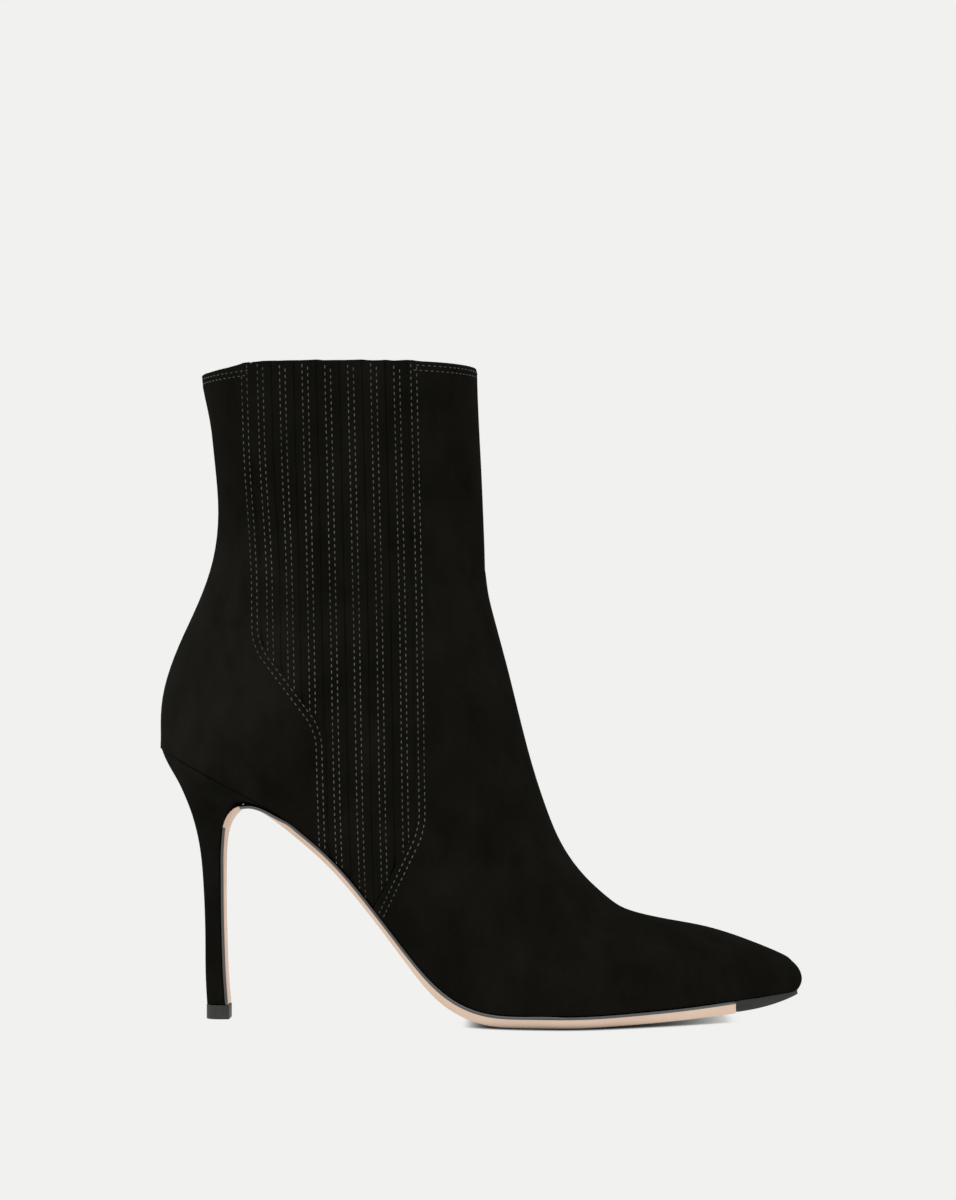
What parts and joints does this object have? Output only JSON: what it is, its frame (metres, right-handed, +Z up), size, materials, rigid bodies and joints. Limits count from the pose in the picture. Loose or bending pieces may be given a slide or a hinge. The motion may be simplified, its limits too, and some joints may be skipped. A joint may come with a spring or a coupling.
{
  "type": "ankle boot",
  "caption": "Pointed ankle bootie in black suede on a slim high heel, with a strip-stitched stretch panel on each side and a nude leather sole.",
  "frame": {"origin": "on the floor, under the middle of the bootie's bounding box", "axes": "+X towards the point of the toe, -Y towards the outer (lateral) side, +Z up"},
  "size_m": [0.2327, 0.0766, 0.2362],
  "materials": {
    "black suede": "matte nap",
    "nude sole leather": "satin",
    "black rubber": "satin",
    "nude lining leather": "satin"
  },
  "bodies": {
    "root": {"upper": "black suede", "strip_outer_1": "black suede", "strip_outer_2": "black suede", "strip_outer_3": "black suede", "strip_outer_4": "black suede", "strip_outer_5": "black suede", "strip_outer_6": "black suede", "strip_outer_7": "black suede", "strip_inner_1": "black suede", "strip_inner_2": "black suede", "strip_inner_3": "black suede", "strip_inner_4": "black suede", "strip_inner_5": "black suede", "strip_inner_6": "black suede", "strip_inner_7": "black suede", "outsole": "nude sole leather", "toe_tip": "black rubber", "heel": "black suede", "heel_tip": "black rubber", "insole": "nude lining leather"}
  },
  "joints": []
}
